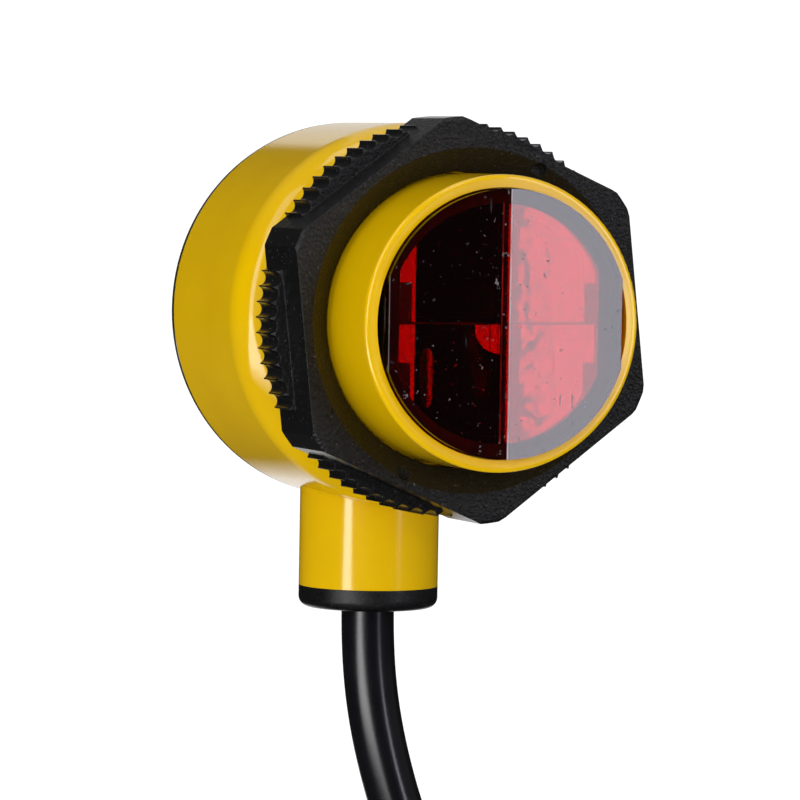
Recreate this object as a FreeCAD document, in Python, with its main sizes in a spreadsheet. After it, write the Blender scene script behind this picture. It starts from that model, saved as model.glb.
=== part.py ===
import FreeCAD, Part
import math
import os
import Sketcher
from FreeCAD import Placement, Rotation, Vector

# Retroreflective photoelectric sensor, millimetres.
# The optical axis is Y and the lens looks along -Y. X is to the right seen from the lens, Z is up.
# The origin is on that axis, in the plane of the shoulder that bears on a panel.

# Driving dimensions. Lengths along the optical axis are measured from the shoulder.
SIZES = {
    # drum and nose of the housing
    "drum_radius": 20.0,
    "drum_length": 20.0,
    "drum_front_round": 3.6,
    "nose_length": 20.5,
    "nose_radius": 14.9,
    "nose_rim_round": 0.4,
    "thread_core_radius": 14.05,
    "thread_length": 6.5,
    "seat_radius": 15.0,
    "seat_length": 4.0,
    "lens_seat_radius": 13.6,
    "lens_seat_depth": 2.3,
    "bore_radius": 12.7,
    "front_wall": 2.2,
    "drum_wall": 2.2,
    "ledge_width": 1.8,
    "ledge_depth": 7.0,
    # stem
    "stem_inset": 6.7,
    "stem_radius": 7.4,
    "stem_bore_radius": 5.4,
    "stem_drop": 9.1,
    "stem_root": 9.0,
    "stem_bore_break": 0.7,
    # rear cover
    "cover_depth": 2.9,
    "cover_wall": 2.0,
    "cover_round": 2.7,
    "cover_seam": 0.2,
    "spigot_length": 2.4,
    "spigot_wall": 1.5,
    # indicator window
    "window_height": 11.0,
    "window_radius": 2.0,
    "window_flange": 0.7,
    "window_flange_thickness": 1.0,
    "lamp_spacing": 6.0,
    "light_guide_radius": 1.5,
    # lens and optics
    "lens_clearance": 0.12,
    "lens_thickness": 2.8,
    "lens_roof": 0.8,
    "lens_half_width": 13.1,
    "seal_thickness": 0.3,
    "frame_wall": 1.2,
    "frame_clearance": 0.1,
    "frame_gap": 0.5,
    "window_half_width": 9.3,
    "divider_thickness": 1.1,
    "film_thickness": 0.4,
    "half_lens_edge": 1.0,
    "half_lens_rise": 1.8,
    "chamber_offset": 5.7,
    "emitter_radius": 2.5,
    "emitter_length": 8.6,
    "emitter_flange": 0.5,
    "detector_width": 5.4,
    "detector_height": 2.2,
    "detector_dome": 1.9,
    # circuit boards
    "board_thickness": 1.6,
    "board_clearance": 0.4,
    "optics_barrel_length": 16.0,
    "header_length": 11.0,
    "header_width": 2.6,
    "header_drop": 9.3,
    "pin_radius": 0.4,
    "pin_hole_radius": 0.5,
    "pin_pitch": 2.0,
    "pin_stand": 0.9,
    "chip_width": 7.0,
    "chip_height": 1.2,
    "chip_rise": 2.0,
    "switch_length": 6.5,
    "switch_width": 3.5,
    "switch_height": 1.7,
    "switch_offset": 10.5,
    "capacitor_radius": 3.1,
    "capacitor_length": 5.4,
    "indicator_radius": 1.5,
    "indicator_flange": 0.3,
    "indicator_length": 3.9,
    # jam nut
    "nut_gap": 4.4,
    "nut_thickness": 8.7,
    "nut_across_flats": 36.8,
    "nut_corner_radius": 20.7,
    "nut_turn": 6.68,
    "nut_bore_clearance": 0.2,
    "nut_countersink": 2.4,
    "nut_rear_lead_in": 0.3,
    "nut_edge": 0.35,
    "flange_thickness": 4.4,
    "tooth_tip_radius": 20.2,
    "tooth_depth": 0.6,
    "tooth_gap_radius": 0.75,
    "dimple_radius": 0.75,
    "dimple_circle": 16.9,
    "dimple_depth": 1.0,
    "dimple_angle": 58.2,
    # cable outlet
    "cap_thickness": 2.3,
    "cap_round": 1.1,
    "plug_length": 4.1,
    "plug_clearance": 0.05,
    "cable_radius": 2.8,
    "cable_bore_clearance": 0.1,
    "grommet_length": 6.0,
    "grommet_taper": 1.0,
    "jacket_inside": 14.4,
    "board_lead_radius": 0.5,
    "board_lead_spacing": 1.25,
    "board_lead_rise": 5.0,
    # cable put away under the sensor
    "coil_column_pitch": 5.7,
    "coil_middle_radius": 32.7,
    "flying_lead_radius": 0.65,
}
TOOTH_COUNT = 80
PIN_COUNT = 5
COIL_COLUMNS = 3
COIL_LAYERS = 3

# Route of the free cable from the end cap to the top turn of the coil, chosen by hand.
CABLE_ROUTE = [
    (0.0, 13.3, -31.4), (0.0, 13.3, -37.0), (1.3, 12.8, -46.2), (4.2, 11.7, -56.4),
    (9.0, 9.4, -66.1), (15.3, 4.8, -74.4), (21.3, -3.0, -80.7), (25.6, -13.1, -84.2),
    (27.6, -23.8, -85.2),
]
COIL_CENTRE = (-10.6, -26.4)
# Route of the stripped leads, as radius and tangential distance from the coil's centre, and height.
LEAD_ROUTE = [(27.0, 0.0), (26.0, 7.0), (21.6, 12.6), (15.4, 15.6), (8.6, 16.4), (1.8, 15.2)]
LEAD_STARTS = [(-0.85, 0.85), (-0.85, -0.85), (0.85, 0.85), (0.85, -0.85)]
LEAD_FAN = 3.0
LEAD_COLOURS = ["brown", "blue", "white", "black"]


class Size:
    """A number together with its formula, so that sums of sizes stay bound to the sheet."""

    def __init__(self, value, formula):
        self.value = value
        self.formula = formula

    def __add__(self, other):
        other = as_size(other)
        return Size(self.value + other.value, f"({self.formula} + {other.formula})")

    def __sub__(self, other):
        other = as_size(other)
        return Size(self.value - other.value, f"({self.formula} - {other.formula})")

    def __mul__(self, other):
        other = as_size(other)
        return Size(self.value * other.value, f"({self.formula} * {other.formula})")

    def __truediv__(self, other):
        other = as_size(other)
        return Size(self.value / other.value, f"({self.formula} / {other.formula})")

    def __neg__(self):
        return Size(-self.value, f"(0 - {self.formula})")

    __radd__ = __add__
    __rmul__ = __mul__


def as_size(number):
    if isinstance(number, Size):
        return number
    return Size(float(number), str(float(number)))


doc = FreeCAD.newDocument("photoelectric_sensor")
sheet = doc.addObject("Spreadsheet::Sheet", "Sizes")
for row, (alias, number) in enumerate(SIZES.items(), start=1):
    sheet.set(f"A{row}", alias.replace("_", " "))
    sheet.set(f"B{row}", str(number))
    sheet.setAlias(f"B{row}", alias)
doc.recompute()


class Sheet:
    """Sizes of the sheet by name."""

    def __getattr__(self, alias):
        return Size(SIZES[alias], f"Sizes.{alias}")


S = Sheet()
nodes = []


# Helpers for bodies, sketches and features

def bind(item, place, size):
    item.setExpression(place, as_size(size).formula)


def new_body(label, x=0, y=0, z=0):
    body = doc.addObject("PartDesign::Body", label)
    body.Label = label
    for letter, size in (("x", x), ("y", y), ("z", z)):
        bind(body, f"Placement.Base.{letter}", size)
    nodes.append(body)
    return body


def new_sketch(body, name, role, offset=0):
    """Sketch on an origin plane of its body, moved along the plane's normal."""
    sketch = body.newObject("Sketcher::SketchObject", name)
    plane = [feature for feature in body.Origin.OriginFeatures if feature.Role == role][0]
    sketch.AttachmentSupport = [(plane, "")]
    sketch.MapMode = "FlatFace"
    bind(sketch, "AttachmentOffset.Base.z", offset)
    return sketch


def place_point(sketch, edge, end, x, y):
    """Fixes one point of the sketch at (x, y) from its origin."""
    for axis, kind, size in ((-2, "DistanceX", as_size(x)), (-1, "DistanceY", as_size(y))):
        if size.formula == "0.0":
            sketch.addConstraint(Sketcher.Constraint("PointOnObject", edge, end, axis))
            continue
        index = sketch.addConstraint(Sketcher.Constraint(kind, -1, 1, edge, end, size.value))
        sketch.setExpression(f"Constraints[{index}]", size.formula)


def arc_between(start, end, radius):
    """Arc under half a circle that turns left from start to end."""
    chord = end - start
    middle = (start + end) * 0.5
    reach = math.sqrt(max(radius ** 2 - (chord.Length / 2) ** 2, 0.0))
    centre = middle + Vector(-chord.y, chord.x, 0).normalize() * reach
    first = math.atan2(start.y - centre.y, start.x - centre.x)
    last = math.atan2(end.y - centre.y, end.x - centre.x)
    return Part.ArcOfCircle(Part.Circle(centre, Vector(0, 0, 1), radius), first, last)


def draw_outline(sketch, corners):
    """Closed outline. A third value is the radius of the arc that leaves the corner, minus: right."""
    count = len(corners)
    spots = [Vector(as_size(c[0]).value, as_size(c[1]).value, 0) for c in corners]
    edges = []
    for number, corner in enumerate(corners):
        start, end = spots[number], spots[(number + 1) % count]
        if len(corner) == 2:
            edges.append((sketch.addGeometry(Part.LineSegment(start, end), False), 1, 2))
            continue
        radius = as_size(corner[2])
        if radius.value > 0:
            edge = sketch.addGeometry(arc_between(start, end, radius.value), False)
            edges.append((edge, 1, 2))
        else:
            edge = sketch.addGeometry(arc_between(end, start, -radius.value), False)
            edges.append((edge, 2, 1))
    for number, corner in enumerate(corners):
        edge, first, last = edges[number]
        following = edges[(number + 1) % count]
        sketch.addConstraint(Sketcher.Constraint("Coincident", edge, last, following[0], following[1]))
        place_point(sketch, edge, first, corner[0], corner[1])
        if len(corner) == 3:
            radius = as_size(corner[2])
            bound = radius if radius.value > 0 else -radius
            index = sketch.addConstraint(Sketcher.Constraint("Radius", edge, bound.value))
            sketch.setExpression(f"Constraints[{index}]", bound.formula)


def draw_circle(sketch, x, y, radius):
    x, y, radius = as_size(x), as_size(y), as_size(radius)
    circle = Part.Circle(Vector(x.value, y.value, 0), Vector(0, 0, 1), radius.value)
    edge = sketch.addGeometry(circle, False)
    place_point(sketch, edge, 3, x, y)
    index = sketch.addConstraint(Sketcher.Constraint("Radius", edge, radius.value))
    sketch.setExpression(f"Constraints[{index}]", radius.formula)


def draw_rectangle(sketch, left, bottom, right, top):
    draw_outline(sketch, [(left, bottom), (right, bottom), (right, top), (left, top)])


def turn_profile(body, name, corners, cut=False, upright=False):
    """Revolves a (along, radius) profile about Y, or a (radius, height) profile about the body's Z."""
    sketch = new_sketch(body, name + "_profile", "YZ_Plane")
    draw_outline(sketch, corners)
    feature = body.newObject("PartDesign::Groove" if cut else "PartDesign::Revolution", name)
    feature.Profile = sketch
    feature.ReferenceAxis = (sketch, ["V_Axis" if upright else "H_Axis"])
    feature.Angle = 360
    return feature


def add_pad(body, name, sketch, length, back=False, midplane=False):
    feature = body.newObject("PartDesign::Pad", name)
    feature.Profile = sketch
    bind(feature, "Length", length)
    feature.Reversed = back
    feature.Midplane = midplane
    return feature


def add_pocket(body, name, sketch, length, back=False):
    """Cuts against the sketch's normal, or along it with back."""
    doc.recompute()
    before = body.Shape.Volume
    feature = body.newObject("PartDesign::Pocket", name)
    feature.Profile = sketch
    bind(feature, "Length", length)
    feature.Reversed = back
    doc.recompute()
    if body.Shape.Volume >= before:
        raise RuntimeError(f"{body.Label}: {name} cuts nothing")
    return feature


def new_box(label, size, corner):
    box = doc.addObject("Part::Box", label)
    box.Label = label
    for side, length in zip(("Length", "Width", "Height"), size):
        bind(box, side, length)
    for letter, place in zip("xyz", corner):
        bind(box, f"Placement.Base.{letter}", place)
    nodes.append(box)
    return box


# Lengths that several pieces share
cavity_radius = S.drum_radius - S.drum_wall
cover_back = S.drum_length + S.cover_depth
stem_setback = S.drum_length - S.stem_inset
stem_bottom = S.drum_radius + S.stem_drop
cap_bottom = stem_bottom + S.cap_thickness
lens_ledge = S.nose_length - S.lens_seat_depth
lens_back = lens_ledge + S.seal_thickness
frame_front = lens_back - S.frame_gap
frame_radius = S.bore_radius - S.frame_clearance
frame_bore = frame_radius - S.frame_wall
film_front = frame_front - S.frame_wall
half_lens_front = film_front - S.film_thickness
half_lens_back = half_lens_front - S.half_lens_edge
optics_board_front = frame_front - S.optics_barrel_length
optics_board_back = optics_board_front - S.board_thickness
main_board_back = S.ledge_depth + S.board_thickness


# Housing: one yellow moulding with the drum, the threaded nose and the stem

def make_housing():
    body = new_body("housing")
    thread_front = S.seat_length + S.thread_length
    turn_profile(body, "drum_and_nose", [
        (-S.nose_length, 0),
        (-S.nose_length, S.nose_radius - S.nose_rim_round, -S.nose_rim_round),
        (-S.nose_length + S.nose_rim_round, S.nose_radius),
        (-thread_front, S.nose_radius),
        (-thread_front, S.thread_core_radius),
        (-S.seat_length, S.thread_core_radius),
        (-S.seat_length, S.seat_radius),
        (0, S.seat_radius),
        (0, S.drum_radius - S.drum_front_round, -S.drum_front_round),
        (S.drum_front_round, S.drum_radius),
        (S.drum_length, S.drum_radius),
        (S.drum_length, 0),
    ])
    sketch = new_sketch(body, "stem_section", "XY_Plane", -stem_bottom)
    draw_circle(sketch, 0, stem_setback, S.stem_radius)
    add_pad(body, "stem", sketch, stem_bottom - S.stem_root)
    turn_profile(body, "cavity", [
        (-S.nose_length, 0),
        (-S.nose_length, S.lens_seat_radius),
        (-lens_ledge, S.lens_seat_radius),
        (-lens_ledge, S.bore_radius),
        (S.front_wall, S.bore_radius),
        (S.front_wall, cavity_radius - S.ledge_width),
        (S.ledge_depth, cavity_radius - S.ledge_width),
        (S.ledge_depth, cavity_radius),
        (S.drum_length, cavity_radius),
        (S.drum_length, S.drum_radius + S.plug_clearance),
        (cover_back, S.drum_radius + S.plug_clearance),
        (cover_back, 0),
    ], cut=True)
    sketch = new_sketch(body, "stem_bore_section", "XY_Plane", -stem_bottom)
    draw_circle(sketch, 0, stem_setback, S.stem_bore_radius)
    bore_depth = stem_bottom - cavity_radius + S.stem_bore_radius / 4 + S.stem_bore_break
    add_pocket(body, "stem_bore", sketch, bore_depth, back=True)


# Rear cover: a yellow cap that plugs the drum, with the indicator window through it

def draw_slot(sketch, half_length, height, radius):
    """Slot lying along X with round ends."""
    draw_outline(sketch, [
        (-half_length, height - radius),
        (half_length, height - radius, radius),
        (half_length + radius, height, radius),
        (half_length, height + radius),
        (-half_length, height + radius, radius),
        (-half_length - radius, height, radius),
    ])


def make_rear_cover():
    body = new_body("rear_cover")
    spigot_radius = cavity_radius - S.plug_clearance
    spigot_front = S.drum_length - S.spigot_length
    turn_profile(body, "cover", [
        (spigot_front, spigot_radius - S.spigot_wall),
        (spigot_front, spigot_radius),
        (S.drum_length, spigot_radius),
        (S.drum_length, S.drum_radius - S.cover_seam),
        (S.drum_length + S.cover_seam, S.drum_radius, -S.cover_round),
        (cover_back, S.drum_radius - S.cover_round),
        (cover_back, 0),
        (cover_back - S.cover_wall, 0),
        (cover_back - S.cover_wall, spigot_radius - S.spigot_wall),
    ])
    sketch = new_sketch(body, "window_section", "XZ_Plane", -cover_back)
    draw_slot(sketch, S.lamp_spacing / 2, S.window_height, S.window_radius)
    add_pocket(body, "window_slot", sketch, S.cover_wall, back=True)


def make_indicator_window():
    """Clear window with a retaining flange and one light guide above each lamp."""
    body = new_body("indicator_window")
    half_length = S.lamp_spacing / 2
    flange_back = cover_back - S.cover_wall
    sketch = new_sketch(body, "window_section", "XZ_Plane", -cover_back)
    draw_slot(sketch, half_length, S.window_height, S.window_radius - S.plug_clearance)
    add_pad(body, "window", sketch, S.cover_wall)
    sketch = new_sketch(body, "flange_section", "XZ_Plane", -flange_back)
    draw_slot(sketch, half_length, S.window_height, S.window_radius + S.window_flange)
    add_pad(body, "flange", sketch, S.window_flange_thickness)
    guide_front = main_board_back + S.indicator_length + S.seal_thickness
    sketch = new_sketch(body, "guide_section", "XZ_Plane", -flange_back)
    for side in (-1, 1):
        draw_circle(sketch, half_length * side, S.window_height, S.light_guide_radius)
    add_pad(body, "light_guides", sketch, flange_back - guide_front)


# Lens: red cover with a shallow roof, its ridge upright, held against a flat seal

def make_front_lens():
    body = new_body("front_lens")
    lens_radius = S.lens_seat_radius - S.lens_clearance
    edge_front = lens_back + S.lens_thickness
    sketch = new_sketch(body, "roof_section", "XY_Plane")
    draw_outline(sketch, [
        (-S.lens_half_width, -lens_back),
        (-S.lens_half_width, -edge_front),
        (0, -edge_front - S.lens_roof),
        (S.lens_half_width, -edge_front),
        (S.lens_half_width, -lens_back),
    ])
    add_pad(body, "roof", sketch, lens_radius * 2, midplane=True)
    sketch = new_sketch(body, "rim_section", "XZ_Plane", lens_back)
    margin = S.lens_half_width * 2
    draw_rectangle(sketch, -margin, -margin, margin, margin)
    draw_circle(sketch, 0, 0, lens_radius)
    add_pocket(body, "rim", sketch, S.lens_thickness + S.lens_roof, back=True)


def make_lens_seal():
    body = new_body("lens_seal")
    inner = S.bore_radius + S.lens_clearance
    outer = S.lens_seat_radius - S.lens_clearance * 2
    turn_profile(body, "ring", [
        (-lens_back, inner), (-lens_back, outer), (-lens_ledge, outer), (-lens_ledge, inner),
    ])


# Optics: a black barrel with a dividing wall, and a film, a lens and a device in each half

def draw_half_disc(sketch, radius, gap, half_width, side):
    """Half disc above (side 1) or below (side -1) the dividing wall, with straight upright ends."""
    corner_height = math.sqrt(radius.value ** 2 - half_width.value ** 2)
    rise = Size(corner_height, f"sqrt({radius.formula} ^ 2 - {half_width.formula} ^ 2)")
    if side > 0:
        corners = [(-half_width, gap), (half_width, gap), (half_width, rise, radius), (-half_width, rise)]
    else:
        corners = [(-half_width, -gap), (half_width, -gap), (half_width, -rise, -radius),
                   (-half_width, -rise)]
    draw_outline(sketch, corners)


def make_optics_frame():
    body = new_body("optics_frame")
    turn_profile(body, "barrel", [
        (-frame_front, 0),
        (-frame_front, frame_radius),
        (-optics_board_front, frame_radius),
        (-optics_board_front, frame_bore),
        (-film_front, frame_bore),
        (-film_front, 0),
    ])
    for side, place in ((1, "upper"), (-1, "lower")):
        sketch = new_sketch(body, place + "_window_section", "XZ_Plane", frame_front)
        draw_half_disc(sketch, frame_bore, S.divider_thickness / 2, S.window_half_width, side)
        add_pocket(body, place + "_window", sketch, S.frame_wall)
    sketch = new_sketch(body, "divider_section", "XZ_Plane", optics_board_front)
    half_wall = S.divider_thickness / 2
    reach = frame_bore + S.frame_wall / 2
    draw_rectangle(sketch, -reach, -half_wall, reach, half_wall)
    add_pad(body, "divider", sketch, film_front - optics_board_front)


def make_polarizer(label, side):
    body = new_body(label)
    sketch = new_sketch(body, "film_section", "XZ_Plane", half_lens_front)
    gap = S.divider_thickness / 2 + S.frame_clearance
    radius = frame_bore - S.frame_clearance
    draw_half_disc(sketch, radius, gap, S.window_half_width + S.frame_clearance, side)
    add_pad(body, "film", sketch, S.film_thickness)


def make_half_lens(label, side):
    body = new_body(label)
    radius = frame_bore - S.frame_clearance
    curve = (radius * radius + S.half_lens_rise * S.half_lens_rise) / (S.half_lens_rise * 2)
    turn_profile(body, "disc", [
        (-half_lens_front, 0),
        (-half_lens_front, radius),
        (-half_lens_back, radius, -curve),
        (-half_lens_back + S.half_lens_rise, 0),
    ])
    sketch = new_sketch(body, "other_half", "XZ_Plane", half_lens_front)
    gap = (S.divider_thickness / 2 + S.frame_clearance) * side
    far = radius * (-1.5 * side)
    low, high = (far, gap) if side > 0 else (gap, far)
    draw_rectangle(sketch, radius * -1.5, low, radius * 1.5, high)
    add_pocket(body, "halving", sketch, half_lens_front)


def make_emitter():
    """Lamp in a round clear case, with a flange and a domed end."""
    body = new_body("emitter_led", z=S.chamber_offset)
    foot = optics_board_front
    tip = foot + S.emitter_length
    turn_profile(body, "case", [
        (-foot, 0),
        (-tip, 0, -S.emitter_radius),
        (-tip + S.emitter_radius, S.emitter_radius),
        (-foot - S.emitter_flange * 2, S.emitter_radius),
        (-foot - S.emitter_flange * 2, S.emitter_radius + S.emitter_flange),
        (-foot, S.emitter_radius + S.emitter_flange),
    ])


def make_detector():
    """Square black case with a round dome over the chip."""
    body = new_body("receiver_photodiode", z=-S.chamber_offset)
    half = S.detector_width / 2
    sketch = new_sketch(body, "case_section", "XZ_Plane", optics_board_front)
    draw_rectangle(sketch, -half, -half, half, half)
    add_pad(body, "case", sketch, S.detector_height)
    face = optics_board_front + S.detector_height
    turn_profile(body, "dome", [
        (-face, 0),
        (-face - S.detector_dome, 0, -S.detector_dome),
        (-face, S.detector_dome),
    ])


# Circuit boards, the header between them and what they carry

def draw_pin_row(sketch, radius):
    for number in range(PIN_COUNT):
        across = S.pin_pitch * (number - (PIN_COUNT - 1) / 2)
        draw_circle(sketch, across, -S.header_drop, radius)


def make_board(label, front, radius):
    """Round board from front towards the rear, drilled for the header's pins."""
    body = new_body(label)
    sketch = new_sketch(body, "outline", "XZ_Plane", -front)
    draw_circle(sketch, 0, 0, radius)
    draw_pin_row(sketch, S.pin_hole_radius)
    add_pad(body, "board", sketch, S.board_thickness, back=True)


def make_header():
    """Plastic strip between the boards with its pins through both."""
    body = new_body("board_header")
    sketch = new_sketch(body, "strip_section", "XZ_Plane", optics_board_back)
    half = S.header_length / 2
    low = -S.header_drop - S.header_width / 2
    draw_rectangle(sketch, -half, low, half, low + S.header_width)
    add_pad(body, "strip", sketch, S.ledge_depth + optics_board_back, back=True)
    pin_front = optics_board_front + S.pin_stand
    sketch = new_sketch(body, "pin_section", "XZ_Plane", pin_front)
    draw_pin_row(sketch, S.pin_radius)
    add_pad(body, "pins", sketch, pin_front + main_board_back + S.pin_stand, back=True)


def make_board_parts():
    half_chip = S.chip_width / 2
    new_box("microcontroller", (S.chip_width, S.chip_height, S.chip_width),
            (-half_chip, main_board_back, S.chip_rise - half_chip))
    half_switch = S.switch_length / 2
    for label, side in (("pnp_output_transistor", -1), ("npn_output_transistor", 1)):
        new_box(label, (S.switch_width, S.switch_height, S.switch_length),
                (S.switch_offset * side - S.switch_width / 2, main_board_back, -half_switch))
    capacitor = new_body("filter_capacitor", x=S.switch_offset, z=S.window_height - S.capacitor_radius)
    turn_profile(capacitor, "can", [
        (main_board_back, 0),
        (main_board_back, S.capacitor_radius),
        (main_board_back + S.capacitor_length, S.capacitor_radius),
        (main_board_back + S.capacitor_length, 0),
    ])


def make_indicator(label, side):
    """Small round lamp on the main board, under its light guide."""
    body = new_body(label, x=S.lamp_spacing / 2 * side, z=S.window_height)
    foot = main_board_back
    tip = foot + S.indicator_length
    turn_profile(body, "case", [
        (foot, 0),
        (foot, S.indicator_radius + S.indicator_flange),
        (foot + S.indicator_flange, S.indicator_radius + S.indicator_flange),
        (foot + S.indicator_flange, S.indicator_radius),
        (tip - S.indicator_radius, S.indicator_radius, -S.indicator_radius),
        (tip, 0),
    ])


# Jam nut: a hexagon with cut corners, and a serrated flange that shows beside its flats

def make_jam_nut():
    body = new_body("jam_nut")
    body.Placement = Placement(Vector(0, 0, 0), Rotation(Vector(0, -1, 0), 0))
    bind(body, "Placement.Rotation.Angle", S.nut_turn)
    rear = S.nut_gap
    front = rear + S.nut_thickness
    bore = S.nose_radius + S.nut_bore_clearance
    flange_front = rear + S.flange_thickness
    turn_profile(body, "flange", [
        (-rear, bore),
        (-rear, S.tooth_tip_radius),
        (-flange_front + S.nut_edge, S.tooth_tip_radius),
        (-flange_front, S.tooth_tip_radius - S.nut_edge),
        (-flange_front, bore),
    ])
    sketch = new_sketch(body, "tooth_gap_section", "XZ_Plane", rear)
    gap_centre = S.tooth_tip_radius - S.tooth_depth + S.tooth_gap_radius
    draw_circle(sketch, gap_centre, 0, S.tooth_gap_radius)
    notch = add_pocket(body, "tooth_gap", sketch, S.flange_thickness, back=True)
    pattern = body.newObject("PartDesign::PolarPattern", "teeth")
    pattern.Originals = [notch]
    pattern.Axis = (sketch, ["N_Axis"])
    pattern.Angle = 360
    pattern.Occurrences = TOOTH_COUNT
    body.Tip = pattern
    sketch = new_sketch(body, "hexagon_section", "XZ_Plane", rear)
    flat = S.nut_across_flats / 2
    half_side = flat / math.sqrt(3)
    draw_outline(sketch, [
        (flat, -half_side), (flat, half_side), (0, half_side * 2),
        (-flat, half_side), (-flat, -half_side), (0, half_side * -2),
    ])
    draw_circle(sketch, 0, 0, bore)
    add_pad(body, "hexagon", sketch, S.nut_thickness)
    turn_profile(body, "corner_cut", [
        (-rear, S.nut_corner_radius),
        (-rear, S.nut_across_flats),
        (-front, S.nut_across_flats),
        (-front, S.nut_corner_radius - S.nut_edge),
        (-front + S.nut_edge, S.nut_corner_radius),
    ], cut=True)
    turn_profile(body, "countersink", [
        (-front, bore),
        (-front, bore + S.nut_countersink),
        (-front + S.nut_countersink, bore),
    ], cut=True)
    turn_profile(body, "rear_lead_in", [
        (-rear, bore),
        (-rear - S.nut_rear_lead_in, bore),
        (-rear, bore + S.nut_rear_lead_in),
    ], cut=True)
    sketch = new_sketch(body, "dimple_section", "XZ_Plane", front)
    across = S.dimple_circle * math.cos(math.radians(SIZES["dimple_angle"]))
    up = S.dimple_circle * math.sin(math.radians(SIZES["dimple_angle"]))
    draw_circle(sketch, across, up, S.dimple_radius)
    draw_circle(sketch, -across, -up, S.dimple_radius)
    add_pocket(body, "dimples", sketch, S.dimple_depth)


# Cable outlet: end cap, grommet, the jacket inside the stem and the leads to the board

def make_end_cap():
    body = new_body("end_cap", y=stem_setback)
    bore = S.cable_radius + S.cable_bore_clearance
    plug = S.stem_bore_radius - S.plug_clearance
    turn_profile(body, "cap", [
        (bore, -cap_bottom),
        (S.stem_radius - S.cap_round, -cap_bottom, S.cap_round),
        (S.stem_radius, -cap_bottom + S.cap_round),
        (S.stem_radius, -stem_bottom),
        (plug, -stem_bottom),
        (plug, -stem_bottom + S.plug_length),
        (bore, -stem_bottom + S.plug_length),
    ], upright=True)


def make_grommet():
    body = new_body("cable_grommet", y=stem_setback)
    bottom = stem_bottom - S.plug_length
    top = bottom - S.grommet_length
    inner = S.cable_radius + S.plug_clearance
    outer = S.stem_bore_radius - S.cable_bore_clearance
    turn_profile(body, "ring", [
        (inner, -bottom),
        (outer, -bottom),
        (outer, -top - S.grommet_taper),
        (outer - S.grommet_taper, -top),
        (inner, -top),
    ], upright=True)


def make_jacket_inside():
    jacket = doc.addObject("Part::Cylinder", "cable_entry")
    jacket.Label = "cable_entry"
    bind(jacket, "Radius", S.cable_radius)
    bind(jacket, "Height", S.jacket_inside)
    bind(jacket, "Placement.Base.y", stem_setback)
    bind(jacket, "Placement.Base.z", -cap_bottom)
    nodes.append(jacket)


def tube_along(points, radius, report=None):
    """Round solid along straight runs joined by the largest tangent arcs that fit."""
    points = [Vector(*point) for point in points]
    edges = []
    radii = []
    last = points[0]
    for before, corner, after in zip(points, points[1:], points[2:]):
        into = corner - before
        out = after - corner
        turn = into.getAngle(out)
        reach = 0.45 * min(into.Length, out.Length)
        radii.append(reach / math.tan(turn / 2))
        start = corner - into.normalize() * reach
        end = corner + out.normalize() * reach
        sideways = (out - into).normalize()
        middle = corner + sideways * (radii[-1] / math.cos(turn / 2) - radii[-1])
        edges.append(Part.LineSegment(last, start).toShape())
        edges.append(Part.Arc(start, middle, end).toShape())
        last = end
    edges.append(Part.LineSegment(last, points[-1]).toShape())
    path = Part.Wire(edges)
    ring = Part.Circle(points[0], points[1] - points[0], radius).toShape()
    solid = path.makePipeShell([Part.Wire([ring])], True, False)
    if report:
        print(report, "radii", " ".join(f"{value:.1f}" for value in radii),
              f"length {path.Length:.1f}",
              f"volume ratio {solid.Volume / (math.pi * radius ** 2 * path.Length):.4f}")
    return solid


def new_tube(label, points, radius):
    feature = doc.addObject("Part::Feature", label)
    feature.Label = label
    feature.Shape = tube_along(points, radius, report=label)
    nodes.append(feature)


def make_board_leads():
    """Four insulated leads from the jacket's end up and over to the main board."""
    start_height = SIZES["jacket_inside"] - cap_bottom.value
    setback = stem_setback.value
    top = start_height + SIZES["board_lead_rise"]
    for number, colour in enumerate(LEAD_COLOURS):
        across = (number - 1.5) * SIZES["board_lead_spacing"]
        route = [
            (across, setback, start_height),
            (across, setback, top),
            (across, main_board_back.value, top),
        ]
        new_tube("board_lead_" + colour, route, SIZES["board_lead_radius"])


# Cable: the hanging stretch, the coil it is put away in, and the stripped leads

def make_cable():
    new_tube("cable_hanging", CABLE_ROUTE, SIZES["cable_radius"])
    coil = new_body("cable_coil")
    coil.Placement.Base = Vector(COIL_CENTRE[0], COIL_CENTRE[1], 0)
    for letter, place in zip("xy", COIL_CENTRE):
        bind(coil, f"Placement.Base.{letter}", place)
    half_width = S.coil_column_pitch * ((COIL_COLUMNS - 1) / 2) + S.cable_radius
    inner = S.coil_middle_radius - half_width
    outer = S.coil_middle_radius + half_width
    top = S.cable_radius + CABLE_ROUTE[-1][2]
    bottom = top - S.cable_radius * (2 * COIL_LAYERS)
    corner = S.cable_radius
    turn_profile(coil, "turns", [
        (inner + corner, bottom),
        (outer - corner, bottom, corner),
        (outer, bottom + corner),
        (outer, top - corner, corner),
        (outer - corner, top),
        (inner + corner, top, corner),
        (inner, top - corner),
        (inner, bottom + corner, corner),
    ], upright=True)
    make_flying_leads(bottom.value)


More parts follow.
